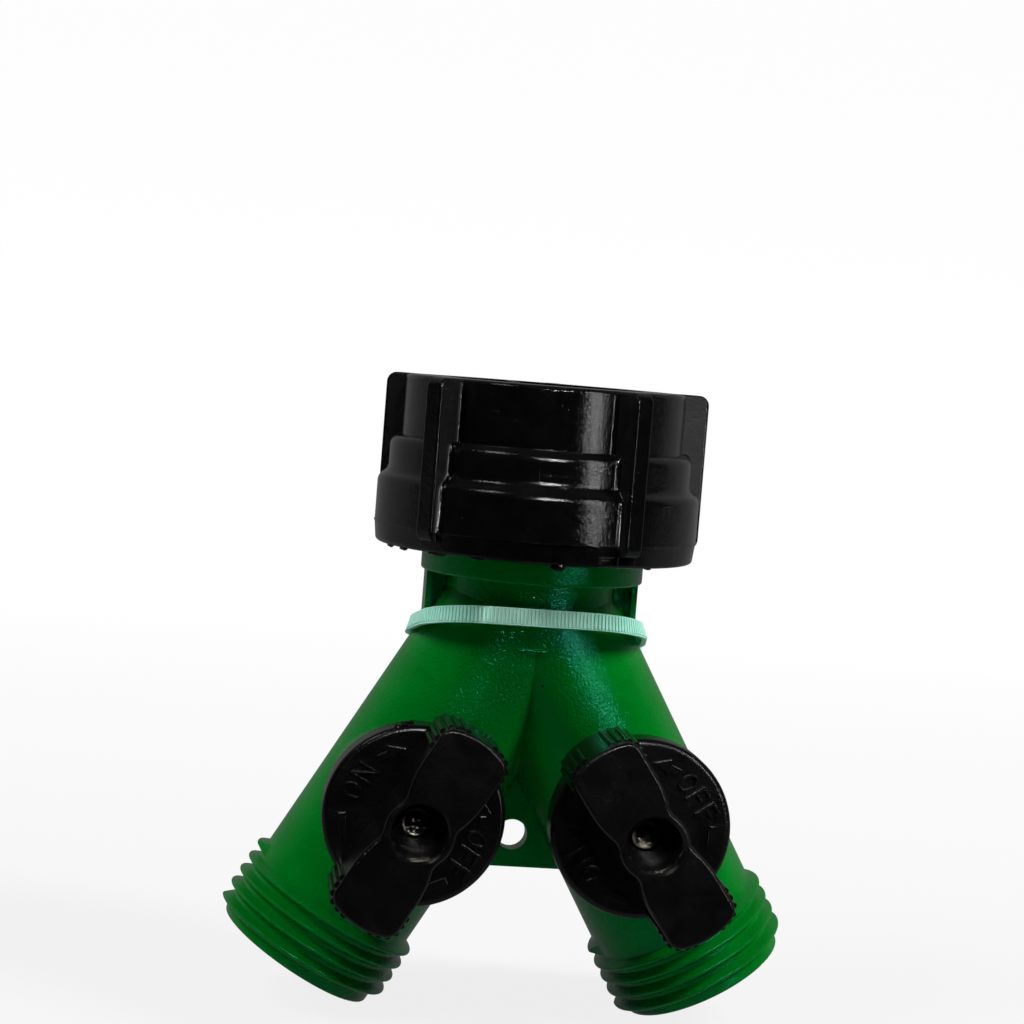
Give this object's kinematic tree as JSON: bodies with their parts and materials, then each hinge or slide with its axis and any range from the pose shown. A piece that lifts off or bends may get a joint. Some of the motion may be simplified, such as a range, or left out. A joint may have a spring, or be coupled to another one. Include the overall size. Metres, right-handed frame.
{
  "type": "hose splitter",
  "caption": "Garden hose splitter: swivel nut over a Y-shaped body, with a lever-knob ball valve and a male hose thread on each branch.",
  "frame": {"origin": "centre of the swivel nut's mouth, where the inlet's axis leaves it", "axes": "+Z along the inlet's axis out of the nut, the two outlets point down, the knobs face -Y, the left outlet is at -X"},
  "size_m": [0.0807, 0.0537, 0.09],
  "materials": {
    "body_plastic": "moulded, semi-gloss, fine speckle",
    "nut_plastic": "moulded, glossy, fine spark grain on the wings",
    "knob_plastic": "moulded, satin",
    "tie_nylon": "translucent nylon, ribbed",
    "plated_steel": "bright zinc plate",
    "seal_rubber": "smooth, dull",
    "inner_plastic": "smooth moulded acetal"
  },
  "bodies": {
    "nut": {"swivel_nut": "nut_plastic"},
    "body": {"y_body": "body_plastic", "inlet_washer": "seal_rubber", "neck_tie": "tie_nylon", "left_inlet_seat": "seal_rubber", "left_outlet_seat": "seal_rubber", "left_seat_retainer": "inner_plastic", "left_bonnet": "inner_plastic", "left_bonnet_oring": "seal_rubber", "left_stem_oring": "seal_rubber", "right_inlet_seat": "seal_rubber", "right_outlet_seat": "seal_rubber", "right_seat_retainer": "inner_plastic", "right_bonnet": "inner_plastic", "right_bonnet_oring": "seal_rubber", "right_stem_oring": "seal_rubber"},
    "left_valve": {"left_ball": "inner_plastic", "left_stem": "inner_plastic", "left_knob": "knob_plastic", "left_knob_screw": "plated_steel"},
    "right_valve": {"right_ball": "inner_plastic", "right_stem": "inner_plastic", "right_knob": "knob_plastic", "right_knob_screw": "plated_steel"}
  },
  "joints": [
    {"name": "inlet_swivel", "type": "hinge", "parent": "nut", "child": "body", "pos_m": [0, 0, 0], "axis": [0, 0, 1], "continuous": true},
    {"name": "left_valve_turn", "type": "hinge", "parent": "body", "child": "left_valve", "pos_m": [-0.0157, 0, -0.05979], "axis": [0, -1, 0], "range_deg": [0, 90]},
    {"name": "right_valve_turn", "type": "hinge", "parent": "body", "child": "right_valve", "pos_m": [0.0157, 0, -0.05979], "axis": [0, -1, 0], "range_deg": [-5.5, 84.5]}
  ]
}
